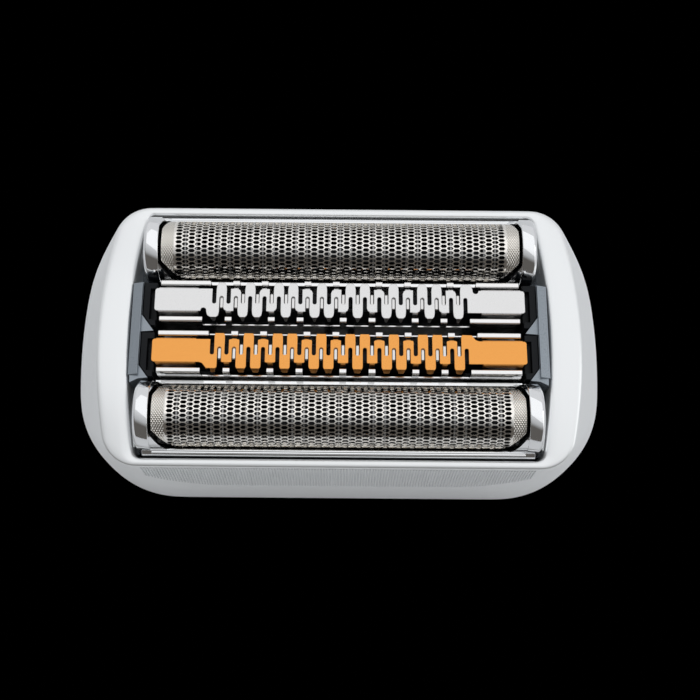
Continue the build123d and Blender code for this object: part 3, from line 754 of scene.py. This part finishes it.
# The blades are grey steel, coloured darker than bare steel. The extra darkness is painted shade beneath
# the foil.
blade_steel = new_finish("blade_steel", (0.30, 0.30, 0.30), metallic=1.0, roughness=0.24)
add_grain(blade_steel, per_mm=8, height=0.002, rough_low=0.18, rough_high=0.32, stretch=(1, 0.15, 0.15))
carrier_black = new_finish("carrier_black", (0.008, 0.0095, 0.012), metallic=0.0, roughness=0.36)
carrier_black.node_tree.nodes["Principled BSDF"].inputs["Specular IOR Level"].default_value = 0.15
add_grain(carrier_black, per_mm=16, height=0.005, rough_low=0.3, rough_high=0.46)


def blade_row(y):
    """Arches of a cutter, each made from half a circle with straight legs."""
    shape = bmesh.new()
    upright = Matrix.Rotation(pi / 2, 4, "Y")
    rim = bmesh.ops.create_circle(shape, segments=arch_steps, radius=arch_outer, matrix=upright)["verts"]
    below = [point for point in rim if point.co.z < -near]
    bmesh.ops.delete(shape, geom=below, context="VERTS")
    feet = [point for point in shape.verts if len(point.link_edges) == 1]
    legs = bmesh.ops.extrude_vert_indiv(shape, verts=feet)["verts"]
    for point in legs:
        point.co.z = arch_foot - foil_axis_height
    drawn = bmesh.ops.extrude_edge_only(shape, edges=shape.edges[:])["geom"]
    for point in points_in(drawn):
        point.co.y *= arch_inner / arch_outer
        point.co.z *= arch_inner / arch_outer if point.co.z > 0 else 1
    thick = bmesh.ops.extrude_face_region(shape, geom=shape.faces[:])["geom"]
    bmesh.ops.translate(shape, vec=(arch_thickness, 0, 0), verts=points_in(thick))
    start = -(arch_count - 1) / 2 * arch_pitch - arch_thickness / 2
    bmesh.ops.translate(shape, vec=(start, y, foil_axis_height), verts=shape.verts)
    copies(shape, whole(shape), [(index * arch_pitch, 0, 0) for index in range(1, arch_count)])
    bmesh.ops.recalc_face_normals(shape, faces=shape.faces)
    return shape


for side, turn in sides:
    settle(
        blade_row(turn * foil_axis),
        f"{side}_blade_arches",
        f"{side}_foil_cutter",
        blade_steel,
        "blade_steel",
        f"{side}_cutter_blades",
    )
    dress(f"{side}_cutter_carrier", carrier_black, edge_radius=0.1)
    dress(f"{side}_cutter_coupling", carrier_black, edge_radius=0.1)

# Trimmer carriers
# Black plastic mouldings with an angular head at each end, which float on springs between the foils.
# A fork and stem of the same plastic below each take the drive to its ladder.
for side, _ in sides:
    dress(f"{side}_trimmer_carrier", carrier_black, edge_radius=0.1)
    dress(f"{side}_trimmer_coupling", carrier_black, edge_radius=0.08)

# Skin guards
# Bright steel sheets, bent up beside each comb: plain bars at the ends, and small nubs between them. Two
# cross strips pass under the carrier and hold the sheet there.
guard_steel = new_finish("guard_steel", (0.84, 0.83, 0.82), metallic=1.0, roughness=0.16)
add_grain(guard_steel, per_mm=7, height=0.002, rough_low=0.12, rough_high=0.22, stretch=(0.12, 1, 1))
trimmer_axis = 2.85
guard_half_length = 19.3
guard_outer = 2.36
guard_inner = 1.72
guard_sheet = 0.12
guard_top = 17.7
guard_lip = 0.3
guard_edge = 16.4
guard_bottom = 13.3
guard_round = 0.2
guard_overlap = 0.1
nub_width = 0.7
bar_gap = 1.25
cross_strip_length = 3.0
cross_strip_sheet = 0.15
lobe_count = 18
lobe_pitch = 1.54
lobe_cycle = 5
short_in_cycle = (1, 3)


def lobe_x(index):
    """Centre of a comb lobe on the rear edge. The front edge has them turned half round."""
    return (index - (lobe_count - 1) / 2) * lobe_pitch + lobe_pitch / 4


def lobe_is_short(index):
    """Two of every five lobes are short."""
    return index % lobe_cycle in short_in_cycle


def bar(shape, low, high):
    """Closed box between two corners. Returns its points."""
    box = bmesh.ops.create_cube(shape, size=1)["verts"]
    middle = (Vector(low) + Vector(high)) / 2
    bmesh.ops.scale(shape, vec=Vector(high) - Vector(low), verts=box)
    bmesh.ops.translate(shape, vec=middle, verts=box)
    return box


def guard_shape(y):
    """Guard of one trimmer: a wall along each side, with half-round bars and nubs bent over it."""
    shape = bmesh.new()
    nubs = [lobe_x(index) for index in range(lobe_count) if lobe_is_short(index)]
    spans = [(middle - nub_width / 2, middle + nub_width / 2) for middle in nubs]
    spans.append((-guard_half_length, lobe_x(0) - bar_gap))
    spans.append((lobe_x(lobe_count - 1) + bar_gap, guard_half_length))
    wall_inner = guard_outer - guard_sheet
    profile = (
        (guard_outer, guard_edge - guard_overlap),
        (guard_outer, guard_top),
        (guard_inner, guard_top),
        (guard_inner, guard_top - guard_lip),
        (wall_inner, guard_top - guard_lip),
        (wall_inner, guard_edge - guard_overlap),
    )
    for low, high in spans:
        corners = [shape.verts.new((low, across, height)) for across, height in profile]
        drawn = bmesh.ops.extrude_face_region(shape, geom=[shape.faces.new(corners)])["geom"]
        bmesh.ops.translate(shape, vec=(high - low, 0, 0), verts=points_in(drawn))
    bmesh.ops.recalc_face_normals(shape, faces=shape.faces)
    long_tops = []
    for edge in shape.edges:
        start, end = (point.co for point in edge.verts)
        if min(start.z, end.z) > guard_top - near and abs(start.y - end.y) < near:
            long_tops.append(edge)
    round_off(shape, long_tops, guard_round, 5)
    wall_low = (-guard_half_length, wall_inner, guard_bottom)
    bar(shape, wall_low, (guard_half_length, guard_outer, guard_edge))
    front = bmesh.ops.duplicate(shape, geom=whole(shape))["geom"]
    half_turn = Matrix.Rotation(pi, 3, "Z")
    bmesh.ops.rotate(shape, cent=(0, 0, 0), matrix=half_turn, verts=points_in(front))
    strip_top = guard_bottom + cross_strip_sheet
    for start in (-guard_half_length, guard_half_length - cross_strip_length):
        strip_high = (start + cross_strip_length, guard_outer, strip_top)
        bar(shape, (start, -guard_outer, guard_bottom), strip_high)
    bmesh.ops.translate(shape, vec=(0, y, 0), verts=shape.verts)
    soften(shape)
    return shape


for side, turn in sides:
    settle(
        guard_shape(turn * trimmer_axis),
        f"{side}_skin_guard",
        f"{side}_trimmer_unit",
        guard_steel,
        "guard_steel",
        f"{side}_trimmer_guard",
    )

# Rung cutters
# Stamped steel ladders that run under the combs. The rungs glint in the slots, and their ends are bent down
# to a thin rail at each side.
rung_top = 17.68
rung_bottom = 17.34
rung_sheet = 0.08
rung_width = 0.27
rung_flat_half = 0.7
rung_bend = 0.16
rung_segments = 24
rung_step = 0.77
rung_places = 18
rung_cycle = 7
rung_gaps = (1, 3, 5)
rung_rail_width = 0.08
rung_rail_height = 0.06
rung_half_length = 15.4

# The bent legs and rails below the rung tops are coloured near black: painted shade under the comb.
rung_colour = (0.72, 0.71, 0.70)
rung_painted_shade_colour = (0.008, 0.008, 0.009)
rung_dark_below = 17.44
rung_pale_above = 17.56
rung_steel = new_finish("rung_steel", rung_colour, metallic=1.0, roughness=0.22)
add_grain(rung_steel, per_mm=8, height=0.001, rough_low=0.16, rough_high=0.28, stretch=(1, 0.15, 1))
paint_shade_by_height(rung_steel, rung_dark_below, rung_painted_shade_colour, rung_pale_above, rung_colour)


def rung_row(y):
    """Rungs that are flat on top and bent down at both ends, with a rail along each side."""
    shape = bmesh.new()
    strip = bmesh.ops.create_grid(shape, x_segments=1, y_segments=rung_segments, size=0.5)["verts"]
    quarter = rung_bend * pi / 2
    leg = rung_top - rung_bottom - rung_bend
    for point in strip:
        along = 2 * point.co.y * (rung_flat_half + quarter + leg)
        way = 1 if along > 0 else -1
        turned = min(max(abs(along) - rung_flat_half, 0), quarter) / rung_bend
        below = max(abs(along) - rung_flat_half - quarter, 0)
        flat = min(abs(along), rung_flat_half)
        point.co.x *= rung_width
        point.co.y = y + way * (flat + rung_bend * sin(turned))
        point.co.z = rung_top - rung_bend * (1 - cos(turned)) - below
    thicken(shape, rung_sheet)
    one = whole(shape)
    steps = [step for step in range(rung_places) if step % rung_cycle not in rung_gaps]
    places = [way * (step + 0.5) * rung_step for step in steps for way in (1, -1)]
    copies(shape, one, [(place, 0, 0) for place in places[1:]])
    bmesh.ops.translate(shape, vec=(places[0], 0, 0), verts=points_in(one))
    half_rail = Vector((rung_half_length, rung_rail_width / 2, rung_rail_height / 2))
    for way in (1, -1):
        rail_y = y + way * (rung_flat_half + rung_bend - half_rail.y)
        middle = Vector((0, rail_y, rung_bottom + half_rail.z))
        bar(shape, middle - half_rail, middle + half_rail)
    bmesh.ops.recalc_face_normals(shape, faces=shape.faces)
    return shape


for side, turn in sides:
    settle(
        rung_row(turn * trimmer_axis),
        f"{side}_rung_strip",
        f"{side}_trimmer_runner",
        rung_steel,
        "blade_steel",
        f"{side}_trimmer_cutter",
    )

# Combs
# Each is one stamped sheet that runs to and fro between slots from both edges. Its long lobes have a bent
# tip that reaches down into the guard, and its short lobes and end plates have a bent edge. The rear comb
# is bare steel with pointed lobes, and the front one is coated gold, with blunt lobes.
comb_top = 18.0
comb_sheet = 0.22
comb_half_width = 1.28
comb_end = 19.85
slot_width = 0.42
slot_past_centre = 0.42
slot_round = slot_width * 0.48
lobe_half_width = (lobe_pitch - slot_width) / 2
lobe_taper_start = 1.4
lobe_round = 1.74
tip_fold = 1.95
tip_length = 0.85
tip_bend = radians(75)
tip_fold_steps = (-0.06, 0, 0.08)
notch_x = 14.6
notch_half_width = 0.3
notch_depth = 0.36
web_reach = 0.8
flange_drop = 0.95
flange_sheet = 0.26
flange_proud = 0.13
flange_sunk = 0.012
flange_fold = 0.17
lobes_within = 13.6
tip_round = 0.1
pointed_short_round = 0.42
blunt_short_round = 0.14
plate_round = 0.3
notch_round = 0.28
taper_round = 0.3
plate_past_notch = 0.6
plate_edge_inset = 0.4
comb_edge_round = 0.045
comb_sharp_edge = radians(50)
cut_reach = 0.0001

# Width of a long lobe at its rounding, its fold and its end, as shares of its full width.
pointed_shares = (0.84, 0.5, 0.2)
blunt_shares = (0.98, 0.78, 0.5)

comb_steel = new_finish("comb_steel", (0.74, 0.735, 0.73), metallic=0.95, roughness=0.3)
add_grain(comb_steel, per_mm=12, height=0.0015, rough_low=0.25, rough_high=0.36)
comb_gold = new_finish("comb_gold", (0.85, 0.37, 0.09), metallic=0.95, roughness=0.3)
add_grain(comb_gold, per_mm=12, height=0.0015, rough_low=0.25, rough_high=0.36)

slots = [lobe_x(index) - lobe_pitch / 2 for index in range(lobe_count)]
last_lobe_edge = lobe_x(lobe_count - 1) + lobe_half_width
web_end = last_lobe_edge + web_reach
flat_reach = tip_fold + tip_length
plate_inner = notch_x + plate_past_notch
plate_outer = comb_end - plate_edge_inset


def nearest_lobe(along):
    """The lobe that lies nearest to a place along the rear edge."""
    return min(range(lobe_count), key=lambda index: abs(along - lobe_x(index)))


def comb_keeps(place, pointed):
    """Whether the sheet is there at a place of the flat comb, which looks the same turned half round."""
    for along, across in (place.xy, -place.xy):
        nearest = nearest_lobe(along)
        from_lobe = abs(along - lobe_x(nearest))
        in_slot = min(abs(along - slot) for slot in slots) < slot_width / 2
        in_notch = abs(along - notch_x) < notch_half_width
        in_web = last_lobe_edge < along < web_end
        if in_slot and across > -slot_past_centre:
            return False
        if pointed and in_notch and across > comb_half_width - notch_depth:
            return False
        on_long_lobe = from_lobe < lobe_half_width and not lobe_is_short(nearest)
        on_web = in_web and not pointed and across < tip_fold
        if across > comb_half_width and not on_long_lobe and not on_web:
            return False
    return True


def flat_comb(pointed):
    """Flat comb with square corners: a plate cut along the slots' edges, without what lies between them."""
    shape = bmesh.new()
    bmesh.ops.create_grid(shape, x_segments=1, y_segments=1, size=1)
    bmesh.ops.scale(shape, vec=(comb_end, flat_reach, 1), verts=shape.verts)
    across_cuts = [slot_past_centre, comb_half_width, lobe_taper_start, lobe_round, tip_fold]
    along_cuts = [slot + way * slot_width / 2 for slot in slots for way in (1, -1)]
    if pointed:
        across_cuts.append(comb_half_width - notch_depth)
        along_cuts += [notch_x - notch_half_width, notch_x + notch_half_width]
    else:
        along_cuts.append(web_end)
    cuts = [((0, way * cut, 0), (0, 1, 0)) for cut in across_cuts for way in (1, -1)]
    cuts += [((way * cut, 0, 0), (1, 0, 0)) for cut in along_cuts for way in (1, -1)]
    for place, normal in cuts:
        bmesh.ops.bisect_plane(shape, geom=whole(shape), dist=cut_reach, plane_co=place, plane_no=normal)
    gone = [face for face in shape.faces if not comb_keeps(face.calc_center_median(), pointed)]
    bmesh.ops.delete(shape, geom=gone, context="FACES")
    return shape


def taper_lobes(shape, pointed):
    """Narrows the long lobes towards their tips, and slants the web at the end of a blunt comb."""
    round_share, fold_share, end_share = pointed_shares if pointed else blunt_shares
    for point in shape.verts:
        way = 1 if point.co.y > 0 else -1
        across = abs(point.co.y)
        along = way * point.co.x
        if abs(along - web_end) < near and across > comb_half_width + near:
            point.co.x = way * (last_lobe_edge + web_reach * (tip_fold - across))
        elif across > lobe_round - near and along < web_end:
            share = end_share
            if across < tip_fold - near:
                share = round_share
            elif across < tip_fold + near:
                share = fold_share
            centre = lobe_x(nearest_lobe(along))
            point.co.x = way * (centre + (along - centre) * share)
    bmesh.ops.dissolve_limit(shape, angle_limit=flat_within, verts=shape.verts, edges=shape.edges)
    straight = [point for point in shape.verts if point.calc_edge_angle(pi) < flat_within]
    bmesh.ops.dissolve_verts(shape, verts=straight)


def on_short_lobe(point):
    """Whether a corner of the flat comb is one of a short lobe."""
    return abs(abs(point.co.y) - comb_half_width) < near and abs(point.co.x) < lobes_within


def faces_middle(point):
    """Whether a short lobe's corner lies towards the long lobe between two short ones."""
    along = point.co.x if point.co.y > 0 else -point.co.x
    nearest = nearest_lobe(along)
    return (along > lobe_x(nearest)) == (nearest % lobe_cycle == short_in_cycle[0])


def round_corners(shape, pointed):
    """Rounds the corners of the slots, tips, end plates, short lobes, notches and shoulders."""

    def round_where(chosen, radius, segments):
        corners = [point for point in shape.verts if chosen(point)]
        round_off(shape, corners, radius, segments, "VERTICES")

    round_where(lambda point: abs(abs(point.co.y) - slot_past_centre) < near, slot_round, 5)
    round_where(lambda point: abs(point.co.y) > flat_reach - near, tip_round, 3)
    round_where(lambda point: abs(point.co.x) > comb_end - near, plate_round, 4)
    if pointed:
        notch_reach = comb_half_width - notch_depth
        round_where(lambda point: on_short_lobe(point) and faces_middle(point), pointed_short_round, 2)
        round_where(lambda point: abs(abs(point.co.y) - notch_reach) < near, notch_round, 5)
        round_where(lambda point: abs(abs(point.co.y) - lobe_taper_start) < near, taper_round, 3)
    else:
        round_where(on_short_lobe, blunt_short_round, 3)


def bend_tips(shape):
    """Bends the tips of the long lobes down into the guard."""
    for place in [(0, way * (tip_fold + step), 0) for step in tip_fold_steps for way in (1, -1)]:
        bmesh.ops.bisect_plane(shape, geom=whole(shape), dist=cut_reach, plane_co=place, plane_no=(0, 1, 0))
    for point in shape.verts:
        past = abs(point.co.y) - tip_fold
        if past > 0:
            way = 1 if point.co.y > 0 else -1
            point.co.y = way * (tip_fold + past * cos(tip_bend))
            point.co.z = -past * sin(tip_bend)


def bent_edge(shape, middle_x, width, way):
    """Edge of a short lobe or an end plate, bent down with a round fold."""
    half_flange = Vector((width, flange_sheet, flange_drop)) / 2
    middle_y = way * (comb_half_width + flange_proud - half_flange.y)
    middle = Vector((middle_x, middle_y, -flange_sunk - half_flange.z))
    flange = bar(shape, middle - half_flange, middle + half_flange)
    high = [point for point in flange if point.co.z > middle.z]
    outer = [point for point in high if abs(point.co.y) > comb_half_width]
    fold = [edge for edge in outer[0].link_edges if edge.other_vert(outer[0]) in outer]
    round_off(shape, fold, flange_fold, 4)


def comb_shape(y, pointed):
    """Comb at its place. A pointed comb has narrow tips, and a blunt one has broad tips."""
    shape = flat_comb(pointed)
    taper_lobes(shape, pointed)
    round_corners(shape, pointed)
    bend_tips(shape)
    thicken(shape, comb_sheet)
    for way in (1, -1):
        for index in range(lobe_count):
            if lobe_is_short(index):
                bent_edge(shape, way * lobe_x(index), lobe_half_width, way)
        for end in (1, -1):
            bent_edge(shape, end * (plate_outer + plate_inner) / 2, plate_outer - plate_inner, way)
    bmesh.ops.translate(shape, vec=(0, y, comb_top), verts=shape.verts)
    soften(shape)
    return shape


for side, turn in sides:
    gilt = side == "front"
    comb = settle(
        comb_shape(turn * trimmer_axis, not gilt),
        f"{side}_serpentine_comb",
        f"{side}_trimmer_unit",
        comb_gold if gilt else comb_steel,
        "comb_gold" if gilt else "comb_steel",
        f"{side}_trimmer_comb",
    )
    edges = comb.modifiers.new("edges", "BEVEL")
    edges.limit_method = "ANGLE"
    edges.angle_limit = comb_sharp_edge
    edges.width = comb_edge_round * mm
    edges.segments = 2
    edges.use_clamp_overlap = False
    edges.harden_normals = True

# Springs
# Thin steel leaves, each bent with a foot on the chassis floor and an arm up to a floating unit.
# They stay fixed to the housing.
spring_round = 0.04
spring_steel = new_finish("spring_steel", (0.62, 0.62, 0.62), metallic=1.0, roughness=0.28)
add_grain(spring_steel, per_mm=8, height=0.001, rough_low=0.22, rough_high=0.34)
for side, _ in sides:
    for unit in ("foil", "trimmer"):
        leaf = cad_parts[f"{side}_{unit}_springs"]
        shape = bmesh.new()
        shape.from_mesh(leaf.data)
        bmesh.ops.scale(shape, vec=(1 / mm, 1 / mm, 1 / mm), verts=shape.verts)
        bmesh.ops.remove_doubles(shape, verts=shape.verts, dist=merge_reach)
        bmesh.ops.dissolve_limit(shape, angle_limit=flat_within, verts=shape.verts, edges=shape.edges)
        sharp = [edge for edge in shape.edges if edge.calc_face_angle(0) > square_edge]
        round_off(shape, sharp, spring_round)
        name = f"{side}_{unit}_leaf_springs"
        spring = settle(shape, name, "housing", spring_steel, "spring_steel", f"{side}_{unit}_springs")
        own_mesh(spring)
